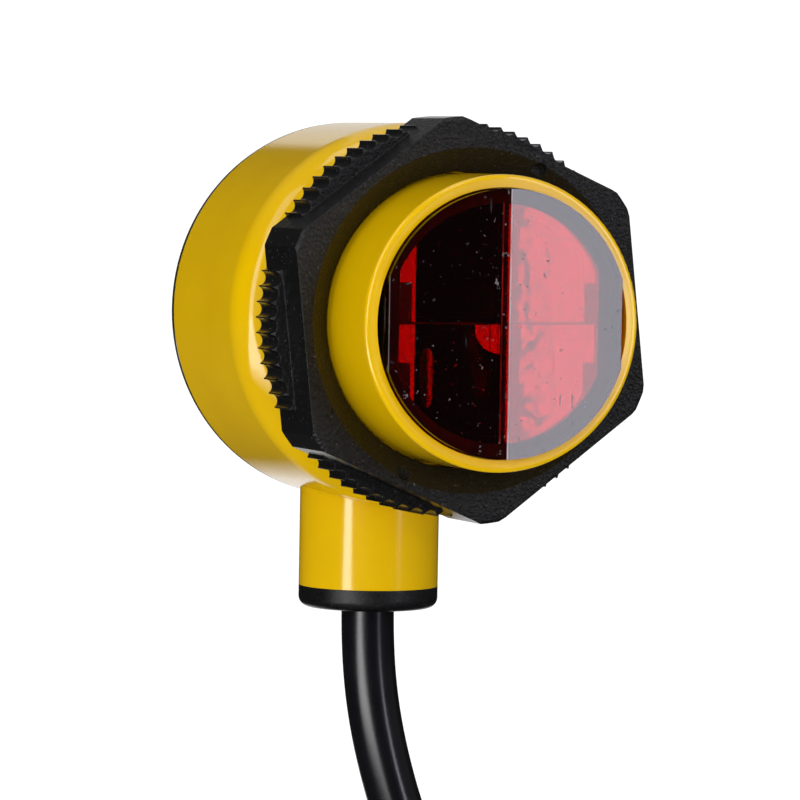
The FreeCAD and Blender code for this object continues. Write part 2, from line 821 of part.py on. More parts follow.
def make_flying_leads(floor):
    angle = math.atan2(CABLE_ROUTE[-1][1] - COIL_CENTRE[1], CABLE_ROUTE[-1][0] - COIL_CENTRE[0])
    outward = Vector(math.cos(angle), math.sin(angle), 0)
    onward = Vector(math.sin(angle), -math.cos(angle), 0)
    centre = Vector(COIL_CENTRE[0], COIL_CENTRE[1], 0)
    radius = SIZES["flying_lead_radius"]
    jacket_height = floor + SIZES["cable_radius"]
    steps = len(LEAD_ROUTE) - 1
    for number, colour in enumerate(LEAD_COLOURS):
        aside, above = LEAD_STARTS[number]
        route = []
        for step, (out, on) in enumerate(LEAD_ROUTE):
            share = step / steps
            spread = aside * (1 - share) + (number - 1.5) * LEAD_FAN * share
            height = (jacket_height + above) * (1 - share) + (floor + radius) * share
            route.append(centre + outward * (out + spread * (1 - share))
                         + onward * (on + spread * share) + Vector(0, 0, height))
        new_tube("flying_lead_" + colour, route, radius)


make_housing()
make_rear_cover()
make_indicator_window()
make_front_lens()
make_lens_seal()
make_optics_frame()
make_polarizer("emitter_polarizer", 1)
make_polarizer("receiver_polarizer", -1)
make_half_lens("emitter_lens", 1)
make_half_lens("receiver_lens", -1)
make_emitter()
make_detector()
make_board("optics_board", -optics_board_front, S.bore_radius - S.board_clearance)
make_board("main_board", S.ledge_depth, cavity_radius - S.board_clearance)
make_header()
make_board_parts()
make_indicator("green_led", -1)
make_indicator("yellow_led", 1)
make_jam_nut()
make_end_cap()
make_grommet()
make_jacket_inside()
make_board_leads()
make_cable()
doc.recompute()

# Nothing is written unless every object and shape is sound
for item in doc.Objects:
    if "Invalid" in item.State or "Error" in item.State:
        raise RuntimeError(f"{item.Label} did not recompute: {item.State}")
os.makedirs("parts", exist_ok=True)
for node in nodes:
    shape = node.Shape
    if shape.isNull() or not shape.isValid() or len(shape.Solids) != 1:
        raise RuntimeError(f"{node.Label} is not one sound solid")
for node in nodes:
    node.Shape.exportStep(f"parts/{node.Label}.step")
    box = node.Shape.BoundBox
    print(f"{node.Label:24s} volume {node.Shape.Volume:9.1f}  x {box.XMin:6.1f} {box.XMax:6.1f}"
          f"  y {box.YMin:6.1f} {box.YMax:6.1f}  z {box.ZMin:7.1f} {box.ZMax:6.1f}")
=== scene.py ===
# %% [markdown]
# # A retroreflective photoelectric sensor
# The sensor is a yellow plastic drum with a threaded nose, a red lens in the nose, a black jam nut
# round it, and a cable that hangs from a short stem. Its rigid pieces come from the imported CAD model,
# which fixes every place and size. This file gives them their finishes and adds what is finer than
# the model: the nose thread, the cable with its coil, and the marks of use on the lens, along with
# two painted highlight lines on it.
#
# The first cell loads that model.

# %% Load the model
import math

import bmesh
import bpy
from mathutils import Matrix, Vector


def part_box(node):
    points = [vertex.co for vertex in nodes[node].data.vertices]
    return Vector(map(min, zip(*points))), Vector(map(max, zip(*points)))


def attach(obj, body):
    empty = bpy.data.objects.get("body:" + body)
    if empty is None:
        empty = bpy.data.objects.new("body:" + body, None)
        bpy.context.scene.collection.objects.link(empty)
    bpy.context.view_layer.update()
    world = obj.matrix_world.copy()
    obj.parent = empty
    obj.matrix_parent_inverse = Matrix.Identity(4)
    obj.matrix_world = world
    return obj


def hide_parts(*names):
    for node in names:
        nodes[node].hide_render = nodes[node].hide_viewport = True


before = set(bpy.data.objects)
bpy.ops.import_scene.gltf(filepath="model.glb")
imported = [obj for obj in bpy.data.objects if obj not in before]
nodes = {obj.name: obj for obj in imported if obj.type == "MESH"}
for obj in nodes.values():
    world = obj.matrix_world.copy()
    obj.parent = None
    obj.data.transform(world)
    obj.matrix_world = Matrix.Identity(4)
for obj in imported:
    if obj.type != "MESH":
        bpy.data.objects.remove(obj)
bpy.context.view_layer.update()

MM = 0.001

# %% [markdown]
# ## Camera
# The photo was taken with a long lens from the front left, a little above the axis. The view was
# worked out from the ellipses of the drum and nose and the corners of the nut: four angles and a
# distance. A long lens this far away could also be an orthographic camera, but the nut's nearer
# corners are slightly larger than its far ones, so a perspective camera fits better.

# %% Camera at the photo's angle
AZIMUTH = math.radians(-23.0)
ELEVATION = math.radians(2.93)
ROLL = math.radians(1.0)
DISTANCE = 0.492
FOCAL_PIXELS = 4800.0
PHOTO_PIXELS = 800.0
TARGET = Vector((-4.2, -4.4, -8.45)) * MM

scene = bpy.context.scene
lens_data = bpy.data.cameras.new("photo_camera")
lens_data.sensor_fit = "HORIZONTAL"
lens_data.sensor_width = 36.0
lens_data.lens = FOCAL_PIXELS / PHOTO_PIXELS * lens_data.sensor_width
lens_data.clip_start = 0.01
lens_data.clip_end = 50.0
camera = bpy.data.objects.new("photo_camera", lens_data)
scene.collection.objects.link(camera)
away = Vector((math.sin(AZIMUTH) * math.cos(ELEVATION), -math.cos(AZIMUTH) * math.cos(ELEVATION),
               math.sin(ELEVATION)))
right = (-away).cross(Vector((0, 0, 1))).normalized()
up = right.cross(-away).normalized()
rolled_right = right * math.cos(ROLL) + up * math.sin(ROLL)
rolled_up = up * math.cos(ROLL) - right * math.sin(ROLL)
turn = Matrix((rolled_right, rolled_up, away)).transposed()
camera.matrix_world = Matrix.Translation(TARGET + away * DISTANCE) @ turn.to_4x4()
scene.camera = camera
print(f"lens {lens_data.lens:.0f} mm at {DISTANCE} m")

# %% [markdown]
# ## The cable
# The real cable is 2 m of round black jacket, 5.6 mm thick. It leaves the end cap straight down,
# bends slowly to the right and goes on below the picture, where the rest is put away in a neat
# coil. A curve with a round bevel is the natural tool: the line stays editable, and its length can
# be measured. The hanging part follows listed points. The coil's points come from a loop:
# each turn keeps its column and moves to the next one over a quarter of a turn.

# %% Route of the cable
CABLE_RADIUS = 2.8
HANGING = [
    (0.0, 13.3, -31.4), (0.0, 13.3, -37.0), (1.3, 12.8, -46.2), (4.2, 11.7, -56.4),
    (9.0, 9.4, -66.1), (15.3, 4.8, -74.4), (21.3, -3.0, -80.7), (25.6, -13.1, -84.2),
    (27.6, -23.8, -85.2),
]
COIL_CENTRE = Vector((-10.6, -26.4, 0.0))
COLUMNS = (38.4, 32.7, 27.0)
LAYER_HEIGHTS = (-85.2, -90.8, -96.4)
POINTS_PER_TURN = 24
SHIFT_SHARE = 0.25


def smooth_step(share):
    share = min(max(share, 0.0), 1.0)
    return share * share * (3 - 2 * share)


def coil_points():
    """Points of three layers of three turns, inward, outward and inward again."""
    stops = []
    for number, height in enumerate(LAYER_HEIGHTS):
        columns = COLUMNS if number % 2 == 0 else COLUMNS[::-1]
        stops.extend((radius, height) for radius in columns)
    start = Vector(HANGING[-1]) - COIL_CENTRE
    first_angle = math.atan2(start.y, start.x)
    points = []
    for turn_number, (radius, height) in enumerate(stops):
        following = stops[min(turn_number + 1, len(stops) - 1)]
        for step in range(POINTS_PER_TURN):
            share = step / POINTS_PER_TURN
            shift = smooth_step((share - 1 + SHIFT_SHARE) / SHIFT_SHARE)
            reach = radius + (following[0] - radius) * shift
            level = height + (following[1] - height) * shift
            angle = first_angle - 2 * math.pi * share
            points.append(COIL_CENTRE + Vector((reach * math.cos(angle), reach * math.sin(angle), level)))
    radius, height = stops[-1]
    end = Vector((radius * math.cos(first_angle), radius * math.sin(first_angle), height))
    points.append(COIL_CENTRE + end)
    return points, first_angle


coil, coil_angle = coil_points()
print(len(HANGING), "hand points and", len(coil), "coil points")


# %% Curve through the route
def new_cable(name, points, radius, resolution=6):
    """Round cable along one smooth open spline."""
    data = bpy.data.curves.new(name, "CURVE")
    data.dimensions = "3D"
    data.bevel_depth = 1.0
    data.bevel_resolution = resolution
    data.use_fill_caps = True
    data.resolution_u = 8
    spline = data.splines.new("NURBS")
    spline.points.add(len(points) - 1)
    for place, point in zip(spline.points, points):
        place.co = (point[0] * MM, point[1] * MM, point[2] * MM, 1.0)
        place.radius = radius * MM
    spline.order_u = 3
    spline.use_endpoint_u = True
    piece = bpy.data.objects.new(name, data)
    scene.collection.objects.link(piece)
    return piece


cable = new_cable("cable", [Vector(point) for point in HANGING] + coil[1:], CABLE_RADIUS)
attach(cable, "sensor")
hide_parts("cable_hanging", "cable_coil")
print("cable through", len(cable.data.splines[0].points), "points")

# %% [markdown]
# ## The stripped leads
# At its far end the jacket is cut back and four thin insulated wires fan out, each with a short bare
# tip. They lie inside the ring of the coil. They are curves as well, on routes that repeat the
# model's, and the bare tip is a second, thinner curve that starts a little inside each end.

# %% Flying leads
LEAD_ROUTE = [(27.0, 0.0), (26.0, 7.0), (21.6, 12.6), (15.4, 15.6), (8.6, 16.4), (1.8, 15.2)]
LEAD_STARTS = [(-0.85, 0.85), (-0.85, -0.85), (0.85, 0.85), (0.85, -0.85)]
LEAD_FAN = 3.0
LEAD_RADIUS = 0.65
LEAD_COLOURS = ["brown", "blue", "white", "black"]
TIP_SHARE = 0.8
TIP_INSIDE = 0.9
TIP_RADIUS = 0.55 * LEAD_RADIUS
outward = Vector((math.cos(coil_angle), math.sin(coil_angle), 0))
onward = Vector((math.sin(coil_angle), -math.cos(coil_angle), 0))
floor_height = LAYER_HEIGHTS[-1] - CABLE_RADIUS
middle_lead = (len(LEAD_COLOURS) - 1) / 2
leads = []
for number, colour in enumerate(LEAD_COLOURS):
    aside, above = LEAD_STARTS[number]
    route = []
    for step, (out, on) in enumerate(LEAD_ROUTE):
        share = step / (len(LEAD_ROUTE) - 1)
        spread = aside * (1 - share) + (number - middle_lead) * LEAD_FAN * share
        height = (LAYER_HEIGHTS[-1] + above) * (1 - share) + (floor_height + LEAD_RADIUS) * share
        route.append(COIL_CENTRE + outward * (out + spread * (1 - share))
                     + onward * (on + spread * share) + Vector((0, 0, height)))
    lead = new_cable("lead_" + colour, route[:-1] + [route[-2].lerp(route[-1], TIP_SHARE)],
                     LEAD_RADIUS, resolution=4)
    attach(lead, "sensor")
    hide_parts("flying_lead_" + colour)
    tip_stops = (TIP_SHARE * TIP_INSIDE, (TIP_SHARE + 1) / 2, 1)
    tip = new_cable("bare_tip_" + colour, [route[-2].lerp(route[-1], stop) for stop in tip_stops],
                    TIP_RADIUS, resolution=3)
    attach(tip, "sensor")
    leads += [lead, tip]

print("cable and", len(leads), "pieces on it")

# %% [markdown]
# ## A small language for materials
# Procedural finishes need much arithmetic on masks and noise. Wired by hand, each sum is a node and
# two links. Here a class wraps a socket, so that `mask * 0.5 + noise` adds those nodes by itself.

# %% Socket arithmetic
class Value:
    """Number that varies over a surface: an output socket with arithmetic."""

    def __init__(self, finish, socket):
        self.finish = finish
        self.socket = socket

    def _math(self, operation, first, second=None):
        inputs = {0: first} if second is None else {0: first, 1: second}
        return self.finish.node("ShaderNodeMath", {"operation": operation}, inputs)[0]

    def __add__(self, other):
        return self._math("ADD", self, other)

    def __radd__(self, other):
        return self._math("ADD", other, self)

    def __sub__(self, other):
        return self._math("SUBTRACT", self, other)

    def __rsub__(self, other):
        return self._math("SUBTRACT", other, self)

    def __mul__(self, other):
        return self._math("MULTIPLY", self, other)

    def __rmul__(self, other):
        return self._math("MULTIPLY", other, self)

    def __pow__(self, other):
        return self._math("POWER", self, other)

    def __gt__(self, other):
        return self._math("GREATER_THAN", self, other)

    def __lt__(self, other):
        return self._math("LESS_THAN", self, other)

    def __abs__(self):
        return self._math("ABSOLUTE", self)

    def clamp(self, low, high):
        """0 below low, 1 above high, and a straight ramp between."""
        settings = {"clamp": True}
        inputs = {"Value": self, "From Min": low, "From Max": high}
        return self.finish.node("ShaderNodeMapRange", settings, inputs)[0]


class Finish:
    """A material being built, with its surface shader."""

    def __init__(self, name, **constants):
        self.material = bpy.data.materials.new(name)
        self.material.use_nodes = True
        self.tree = self.material.node_tree
        self.shader = self.tree.nodes["Principled BSDF"]
        for socket, value in constants.items():
            self.shader.inputs[socket.replace("_", " ")].default_value = value

    def node(self, kind, settings=None, inputs=None):
        """Adds a node: its settings first, then its sockets. Gives its outputs as values."""
        new = self.tree.nodes.new(kind)
        for name, value in (settings or {}).items():
            setattr(new, name, value)
        for socket, value in (inputs or {}).items():
            if isinstance(value, Value):
                self.tree.links.new(value.socket, new.inputs[socket])
            else:
                new.inputs[socket].default_value = value
        return [Value(self, output) for output in new.outputs]

    def feed(self, socket, value):
        self.tree.links.new(value.socket, self.shader.inputs[socket])

    def point(self):
        """Position in the model's frame, in millimetres."""
        place = self.node("ShaderNodeTexCoord")[3]
        return self.node("ShaderNodeVectorMath", {"operation": "SCALE"}, {0: place, "Scale": 1 / MM})[0]

    def parts(self, vector):
        """The x, y and z of a vector."""
        return self.node("ShaderNodeSeparateXYZ", inputs={0: vector})

    def noise(self, vector, scale, detail=2.0, roughness=0.5):
        inputs = {"Vector": vector, "Scale": scale, "Detail": detail, "Roughness": roughness}
        return self.node("ShaderNodeTexNoise", None, inputs)[0]

    def cells(self, vector, scale):
        return self.node("ShaderNodeTexVoronoi", None, {"Vector": vector, "Scale": scale})[0]

    def mix(self, share, first, second):
        """Colour between two, by share."""
        return self.node("ShaderNodeMix", {"data_type": "RGBA"},
                         {0: share, 6: first, 7: second})[2]

    def bump(self, height, distance, edge=0.0):
        """Feeds the surface normal with a relief in millimetres, and edges rounded by that radius."""
        inputs = {"Height": height, "Distance": distance * MM}
        if edge:
            inputs["Normal"] = self.node("ShaderNodeBevel", {"samples": 6}, {"Radius": edge * MM})[0]
        self.feed("Normal", self.node("ShaderNodeBump", None, inputs)[0])


def dress(piece, finish):
    """Gives a piece or a CAD node that finish in all its slots."""
    target = nodes[piece] if isinstance(piece, str) else piece
    if not target.material_slots:
        target.data.materials.append(finish.material)
    for slot in target.material_slots:
        slot.material = finish.material


print("material helpers ready")

# %% [markdown]
# ## Studio
# The photo has a pure white ground. The drum's top and underside mirror that white at a grazing
# angle, while everything that faces the camera mirrors a dark room with two narrow upright lights:
# one shows as a bright stripe on the stem, the other fills the right half of the lens. An even white
# world would be simpler, but it would wash out the black nut and turn the lens milky. So the
# surroundings here are white behind and overhead and dark in front, and the lights stand at the
# angles that their reflections give. The floor also lights the underside, but its glow is kept out of
# mirror rays, because the stem would turn milky. Mirror rays find only two patches on it: the image
# of the left light, which runs down the cable, and that of the white wall. A fill light at the front
# left lights the black pieces a little and is mirrored nowhere. The colours are shown as they are,
# with no film curve, because the photo's white is pure and its yellow is strong.

# %% Colour display
scene.view_settings.view_transform = "Standard"
scene.view_settings.look = "None"
print("colours shown as", scene.view_settings.view_transform)


# %% Surroundings
class Surroundings(Finish):
    """The world, built with the same nodes as a finish."""

    def __init__(self):
        self.world = bpy.data.worlds.new("studio")
        scene.world = self.world
        self.world.use_nodes = True
        self.tree = self.world.node_tree
        self.shader = self.tree.nodes["Background"]
        self.shader.inputs["Color"].default_value = (1, 1, 1, 1)


DARK_ROOM = 0.025
WHITE_WALL = 0.75
WALL_HALF_WIDTH = 0.17
WALL_SOFTNESS = 0.04
RIGHT_WALL = 0.12
CEILING = 0.2
WHITE_GROUND = 1.1
studio = Surroundings()
direction = studio.node("ShaderNodeTexCoord")[0]
toward_wall = Vector((-away.x, -away.y, 0)).normalized()
behind = studio.node("ShaderNodeVectorMath", {"operation": "DOT_PRODUCT"},
                     {0: direction, 1: toward_wall})[1]
aside = studio.node("ShaderNodeVectorMath", {"operation": "DOT_PRODUCT"}, {0: direction, 1: right})[1]
height = studio.parts(direction)[2]
beside_wall = abs(aside).clamp(WALL_HALF_WIDTH, WALL_HALF_WIDTH + WALL_SOFTNESS)
wall = behind.clamp(0.0, 0.15) * (1.0 - beside_wall)
right_wall = aside.clamp(0.80, 0.95) * RIGHT_WALL
ceiling = height.clamp(0.35, 0.8)
seen = studio.node("ShaderNodeLightPath")[0]
glow = DARK_ROOM + wall * WHITE_WALL + right_wall + ceiling * CEILING
glow = glow * (1.0 - seen) + seen * WHITE_GROUND
studio.feed("Strength", glow)
print("dark room", DARK_ROOM, "white wall", WHITE_WALL)


# %% Floor
FLOOR_FRONT = 0.9
FLOOR_BACK = 4.0
FLOOR_SIDE = 2.0
FLOOR_GAP = 0.0002
level = floor_height * MM - FLOOR_GAP
floor_mesh = bpy.data.meshes.new("floor")
floor_mesh.from_pydata([(-FLOOR_SIDE, -FLOOR_FRONT, level), (FLOOR_SIDE, -FLOOR_FRONT, level),
                        (FLOOR_SIDE, FLOOR_BACK, level), (-FLOOR_SIDE, FLOOR_BACK, level)],
                       [], [(0, 1, 2, 3)])
floor = bpy.data.objects.new("floor", floor_mesh)
scene.collection.objects.link(floor)
print(f"floor {2 * FLOOR_SIDE:.0f} m wide, {-level / MM:.1f} mm under the optical axis")

# %% What the floor gives off
# Each edge of a patch is soft: its two numbers, in millimetres, are where it starts and where it ends.
LEFT_STRIP_AZIMUTH = -58.6
STRIP_SIDE_EDGE = (95, 115)
STRIP_NEAR_EDGE = (150, 250)
STRIP_IMAGE = 8
WALL_NEAR_EDGE = (60, 120)
WALL_LEFT_EDGE = (-75, -50)
WALL_RIGHT_EDGE = (30, 60)
WALL_IMAGE = 1.05
GROUND_GLOW = 0.9
pale = Finish("pale_floor", Base_Color=(0.05, 0.05, 0.05, 1), Roughness=0.9, Specular_IOR_Level=0.0,
              Emission_Strength=1.0)
x, y = pale.parts(pale.point())[:2]
strip_angle = math.radians(LEFT_STRIP_AZIMUTH)
strip_side = x * math.cos(strip_angle) + y * math.sin(strip_angle)
strip_way = x * math.sin(strip_angle) - y * math.cos(strip_angle)
strip_image = (1.0 - abs(strip_side).clamp(*STRIP_SIDE_EDGE)) * strip_way.clamp(*STRIP_NEAR_EDGE)
wall_side = x * right.x + y * right.y
wall_image = (y.clamp(*WALL_NEAR_EDGE) * wall_side.clamp(*WALL_LEFT_EDGE)
              * (1.0 - wall_side.clamp(*WALL_RIGHT_EDGE)))
ray_kinds = pale.node("ShaderNodeLightPath")
camera_ray, diffuse_ray, mirror_ray = ray_kinds[0], ray_kinds[2], ray_kinds[3]
pale.feed("Emission Color", camera_ray * WHITE_GROUND + diffuse_ray * GROUND_GLOW
          + mirror_ray * (strip_image * STRIP_IMAGE + wall_image * WALL_IMAGE))
dress(floor, pale)
print("floor glow", GROUND_GLOW, "with two patches for mirror rays")


# %% Lights
def area_light(name, azimuth, elevation, distance, width, height, radiance, colour=(1, 1, 1),
               mirrored=True):
    """Rectangular light that faces the object: angles in degrees, lengths in metres, then radiance."""
    data = bpy.data.lights.new(name, "AREA")
    data.shape = "RECTANGLE"
    data.size = width
    data.size_y = height
    data.energy = radiance * math.pi * width * height
    data.color = colour
    lamp = bpy.data.objects.new(name, data)
    lamp.visible_glossy = mirrored
    azimuth, elevation = math.radians(azimuth), math.radians(elevation)
    toward = Vector((math.sin(azimuth) * math.cos(elevation), -math.cos(azimuth) * math.cos(elevation),
                     math.sin(elevation)))
    lamp.location = TARGET + toward * distance
    lamp.rotation_euler = (-toward).to_track_quat("-Z", "Y").to_euler()
    scene.collection.objects.link(lamp)


area_light("left_strip", LEFT_STRIP_AZIMUTH, 3, 0.9, 0.21, 1.1, 4.3)
area_light("right_box", 29.2, 14.1, 1.2, 0.17, 0.775, 6.5, colour=(0.98, 1.0, 1.12))
area_light("front_fill", -36, 8, 1.2, 0.5, 0.5, 8, mirrored=False)
area_light("left_high", -62, 44, 1.0, 0.4, 0.4, 2)
area_light("front_high", 0, 48, 1.0, 0.3, 0.3, 3)
area_light("overhead", -20, 80, 1.1, 0.5, 0.4, 2.5)

# %% [markdown]
# ## Yellow plastic
# The housing is moulded in a tough yellow polyester with a soft gloss. Close up it has a very
# shallow unevenness from the mould, and its colour is a little deeper in places. One Principled
# shader with a low bump does this. A coat would look lacquered, which it is not. The moulded edges
# are slightly round, which a Bevel node shows without touching the model's mesh. The nose's rim has
# a very low step, and a thin line of painted shade, near black, runs round the drum where the rear
# cover begins.


# %% Yellow plastic
COVER_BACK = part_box("rear_cover")[1][1] / MM
# Where the band of painted shade round the drum starts and ends along the axis, in mm.
SHADE_LINE_FRONT = COVER_BACK - 2.75
SHADE_LINE_BACK = COVER_BACK - 1.95
RIM_FACE = -20.3
RIM_STEP = (14.1, 14.3)


def yellow_plastic():
    finish = Finish("yellow_plastic", IOR=1.5)
    point = finish.point()
    x, y, z = finish.parts(point)
    cloud = finish.noise(point, 0.12, 3.0)
    grain = finish.noise(point, 2.2, 2.0)
    from_axis = (x * x + z * z) ** 0.5
    rim_step = from_axis.clamp(*RIM_STEP) * (y < RIM_FACE)
    colour = finish.mix(cloud.clamp(0.35, 0.65), (0.735, 0.440, 0.0, 1), (0.765, 0.465, 0.0, 1))
    # Painted shade: a near-black band round the drum at the rear cover's edge.
    painted_seam_shade = (y > SHADE_LINE_FRONT) * (y < SHADE_LINE_BACK)
    finish.feed("Base Color", finish.mix(painted_seam_shade, colour, (0.03, 0.03, 0.008, 1)))
    finish.feed("Roughness", 0.08 + 0.05 * cloud + 0.03 * grain)
    finish.bump(0.5 * grain + 0.5 * cloud + rim_step, 0.003, edge=0.07)
    return finish


yellow = yellow_plastic()
for name in ("housing", "rear_cover"):
    dress(name, yellow)
print(f"dark line {SHADE_LINE_BACK - SHADE_LINE_FRONT:.1f} mm wide")

# %% [markdown]
# ## Black nylon
# The nut is moulded in black glass-filled nylon. Its front face and countersink have a pebbled
# texture from the mould, its sides are smoother, and fine pale specks and rubbed edges catch the
# light. The pebbles follow the direction that a face looks, so one finish serves the whole nut.


# %% Black nylon
def black_nylon(name, pebble_height, specks):
    finish = Finish(name, IOR=1.5, Specular_IOR_Level=0.36)
    point = finish.point()
    pebbles = finish.cells(point, 3.2)
    grain = finish.noise(point, 5.0, 3.0)
    cloud = finish.noise(point, 0.25, 2.0)
    facing = finish.node("ShaderNodeNewGeometry")[1]
    front = finish.parts(facing)[1]
    pebbled = (0.0 - front).clamp(0.45, 0.65)
    dust = finish.noise(point, 3.5, 1.0).clamp(0.72, 0.78) * specks
    deep = finish.mix(grain.clamp(0.4, 0.7), (0.004, 0.004, 0.004, 1), (0.013, 0.013, 0.015, 1))
    finish.feed("Base Color", finish.mix(dust, deep, (0.22, 0.21, 0.19, 1)))
    finish.feed("Roughness", 0.22 + 0.16 * pebbled + 0.08 * cloud)
    relief = (pebbles * 0.6 + grain * 0.4) * (0.12 + 0.88 * pebbled)
    finish.bump(relief, pebble_height, edge=0.18)
    return finish


dress("jam_nut", black_nylon("nut_nylon", 0.15, 0.5))
dress("end_cap", black_nylon("cap_nylon", 0.02, 0.15))
print("nut and end cap in black nylon")

# %% [markdown]
# ## Cable jacket and insulation
# The jacket is smooth PVC, extruded, so it is glossier than the nut and has hardly any grain. The
# thin leads have the same kind of skin in the four colours of the wiring code, and their bare tips
# are tinned copper strands.


# %% Jacket and insulation
def extruded(name, colour, roughness):
    finish = Finish(name, IOR=1.5)
    point = finish.point()
    cloud = finish.noise(point, 0.3, 3.0)
    grain = finish.noise(point, 3.0, 2.0)
    paler = tuple(0.9 * part + 0.003 for part in colour)
    finish.feed("Base Color", finish.mix(cloud, (*colour, 1), (*paler, 1)))
    finish.feed("Roughness", roughness + 0.06 * cloud)
    finish.bump(grain, 0.004)
    return finish


jacket = extruded("black_jacket", (0.004, 0.004, 0.006), 0.20)
dress(cable, jacket)
dress("cable_entry", jacket)
INSULATION = {"brown": (0.16, 0.05, 0.018), "blue": (0.02, 0.11, 0.5), "white": (0.8, 0.8, 0.77),
              "black": (0.014, 0.014, 0.014)}
for colour_name, colour in INSULATION.items():
    skin = extruded(colour_name + "_insulation", colour, 0.3)
    dress("board_lead_" + colour_name, skin)
    for piece in leads:
        if piece.name == "lead_" + colour_name:
            dress(piece, skin)


def tinned_copper():
    finish = Finish("tinned_copper", Metallic=1.0)
    point = finish.point()
    strand = finish.noise(point, 6.0, 1.0)
    finish.feed("Base Color", finish.mix(strand, (0.72, 0.66, 0.58, 1), (0.80, 0.50, 0.34, 1)))
    finish.feed("Roughness", 0.25 + 0.2 * strand)
    finish.bump(strand, 0.03)
    return finish


copper = tinned_copper()
for piece in leads:
    if piece.name.startswith("bare_tip"):
        dress(piece, copper)
print(len(INSULATION), "insulation colours, and tinned copper")

# %% [markdown]
# ## Red lens
# The lens is polished red acrylic, nearly 3 mm thick. What one sees in it is mostly reflection: its
# front mirrors the right light grey, and the films behind mirror it again, red through the plastic.
# Real refraction gives both for free. Dust and fine scratches lie on top of it, so a mask mixes in a
# pale matt shader where they are. The same shader paints two thin highlights, down the ridge and
# along the front edge of each flat side. Round the windows the lens beds on its black seal, so there
# its back mirrors nothing.


# %% Lens
# Half width of the painted highlight line down the lens's ridge, in mm.
RIDGE_HIGHLIGHT_HALF_WIDTH = 0.08
# Width of the painted highlight along the front edge of each flat side, in mm.
RIM_HIGHLIGHT_WIDTH = 0.08
LENS_FLAT = 12.7
LENS_RISE = 0.8
FILM_RADIUS = 12.0
FILM_HALF_WIDTH = 10.8
lens_low, lens_high = (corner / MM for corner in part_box("front_lens"))
front_edge = lens_low.y + LENS_RISE
lens_back = lens_high.y


def red_lens():
    finish = Finish("red_lens", IOR=1.49, Transmission_Weight=1.0, Roughness=0.0,
                    Base_Color=(0.80, 0.010, 0.008, 1))
    point = finish.point()
    x, y, z = finish.parts(point)
    across = abs(x)
    from_axis = (x * x + z * z) ** 0.5
    window = (across < FILM_HALF_WIDTH) * (from_axis < FILM_RADIUS)
    bedding = (y > (front_edge + lens_back) / 2) * (1.0 - window)
    speck_field = finish.noise(point, 1.8, 2.0, 0.6)
    patches = finish.noise(point, 0.16, 2.0).clamp(0.42, 0.62)
    specks = speck_field.clamp(0.69, 0.71) * (0.25 + 0.75 * patches)
    stretched = finish.node("ShaderNodeMapping", None,
                            {"Vector": point, "Rotation": (0.0, 0.5, 0.0), "Scale": (1.0, 1.0, 0.12)})[0]
    scratches = finish.noise(stretched, 1.6, 1.0).clamp(0.73, 0.75) * patches
    # Painted highlight: a pale line down the ridge, a little uneven with the dust patches.
    ridge_highlight = (across < RIDGE_HIGHLIGHT_HALF_WIDTH) * (0.3 + 0.4 * patches)
    # Painted highlight: a thin line along the front edge of each flat side of the lens.
    rim_highlight = (across > LENS_FLAT - RIM_HIGHLIGHT_WIDTH) * (y < front_edge + RIM_HIGHLIGHT_WIDTH) * 0.6
    # The pale matt shader is dust where the specks and scratches are, and painted highlight on the ridge
    # line and the edge lines; it is palest on the ridge.
    dust_and_highlight_colour = finish.mix(ridge_highlight.clamp(0.0, 0.2), (0.16, 0.14, 0.15, 1), (0.55, 0.42, 0.44, 1))
    dust = finish.node("ShaderNodeBsdfPrincipled", None, {"Base Color": dust_and_highlight_colour, "Roughness": 0.6})[0]
    output = finish.tree.nodes["Material Output"]
    glass = Value(finish, finish.shader.outputs[0])
    share = (specks + 0.6 * scratches) * 0.8 + ridge_highlight + rim_highlight
    dust_and_highlights = finish.node("ShaderNodeMixShader", None, {0: share, 1: glass, 2: dust})[0]
    black = finish.node("ShaderNodeBsdfPrincipled", None,
                        {"Base Color": (0.003, 0.002, 0.002, 1), "Roughness": 0.5})[0]
    mixed = finish.node("ShaderNodeMixShader", None, {0: bedding, 1: dust_and_highlights, 2: black})[0]
    finish.tree.links.new(mixed.socket, output.inputs["Surface"])
    return finish


acrylic = red_lens()
print(f"red acrylic, bedded outside a radius of {FILM_RADIUS} mm")

# %% [markdown]
# ## Inner pieces
# Behind the lens a black barrel holds two polarizing films, which mirror more than plain glass does.
# A rougher copy of the film's finish serves the rib that stands on one of them. Through the small
# window in the back one sees the ends of two lamps. The boards and their parts are closed in, but
# each has its own finish, because the model can be taken apart.


# %% Films, barrel and clear parts
RIPPLE_START = (1.2, 2.2)
RIPPLE_END = (2.8, 6.0)


def polarizing_film(name, roughness):
    finish = Finish(name, IOR=1.74, Transmission_Weight=1.0)
    point = finish.point()
    x = finish.parts(point)[0]
    haze = finish.noise(point, 0.2, 2.0)
    finish.feed("Base Color", finish.mix(haze, (0.22, 0.20, 0.18, 1), (0.32, 0.29, 0.26, 1)))
    finish.feed("Roughness", roughness + 0.03 * haze)
    near_ridge = x.clamp(*RIPPLE_START) - x.clamp(*RIPPLE_END)
    finish.bump((finish.noise(point, 0.45, 1.0) - 0.35) * near_ridge, 0.14)
    return finish


def plain(name, colour, roughness, depth=0.01, scale=2.0, metallic=0.0, transmission=0.0):
    """Moulded or drawn finish with a slight mottle."""
    finish = Finish(name, Metallic=metallic, Transmission_Weight=transmission)
    point = finish.point()
    mottle = finish.noise(point, scale, 3.0)
    darker = tuple(0.8 * part for part in colour)
    finish.feed("Base Color", finish.mix(mottle, (*darker, 1), (*colour, 1)))
    finish.feed("Roughness", roughness * 0.85 + roughness * 0.3 * mottle)
    finish.bump(mottle, depth)
    return finish


